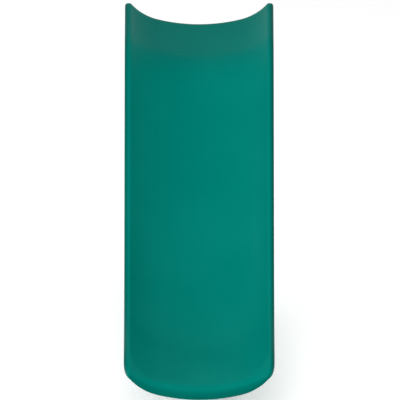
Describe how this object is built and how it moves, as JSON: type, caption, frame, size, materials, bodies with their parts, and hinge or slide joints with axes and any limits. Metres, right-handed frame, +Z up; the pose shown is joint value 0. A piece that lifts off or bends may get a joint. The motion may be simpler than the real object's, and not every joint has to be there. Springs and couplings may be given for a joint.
{
  "type": "straight slide",
  "caption": "Straight playground slide: a moulded plastic trough with rolled rims and exit lip, on a bolted steel underframe that fixes to a deck edge and to the ground.",
  "frame": {"origin": "centre of the deck bolt pattern, on the bracket's face that lies against the deck; the deck floor is 58 mm above it and the ground 856 mm below it", "axes": "+Z up, +Y into the deck, X across the slide; the rider travels towards -Y"},
  "size_m": [0.63, 1.8746, 1.016],
  "materials": {
    "chute": "gloss moulded",
    "steel": "hot-dip galvanised",
    "fastener": "zinc plated",
    "rubber": "matt",
    "cap": "matt moulded",
    "brass": "turned"
  },
  "bodies": {
    "root": {"chute": "chute", "deck_bracket": "steel", "left_rail": "steel", "right_rail": "steel", "bearer_1": "steel", "bearer_2": "steel", "bearer_3": "steel", "bearer_4": "steel", "bearer_5": "steel", "rubber_strip_1": "rubber", "rubber_strip_2": "rubber", "rubber_strip_3": "rubber", "rubber_strip_4": "rubber", "rubber_strip_5": "rubber", "left_leg": "steel", "right_leg": "steel", "left_base_plate": "steel", "right_base_plate": "steel", "leg_brace": "steel", "bearer_caps": "cap", "left_rail_cap": "cap", "right_rail_cap": "cap", "left_leg_cap": "cap", "right_leg_cap": "cap", "chute_inserts": "brass", "chute_bolts": "fastener", "chute_washers": "fastener", "flange_screws": "fastener", "flange_washers": "fastener", "flange_nuts": "fastener", "leg_bolts": "fastener", "leg_washers": "fastener", "leg_nuts": "fastener"}
  },
  "joints": []
}
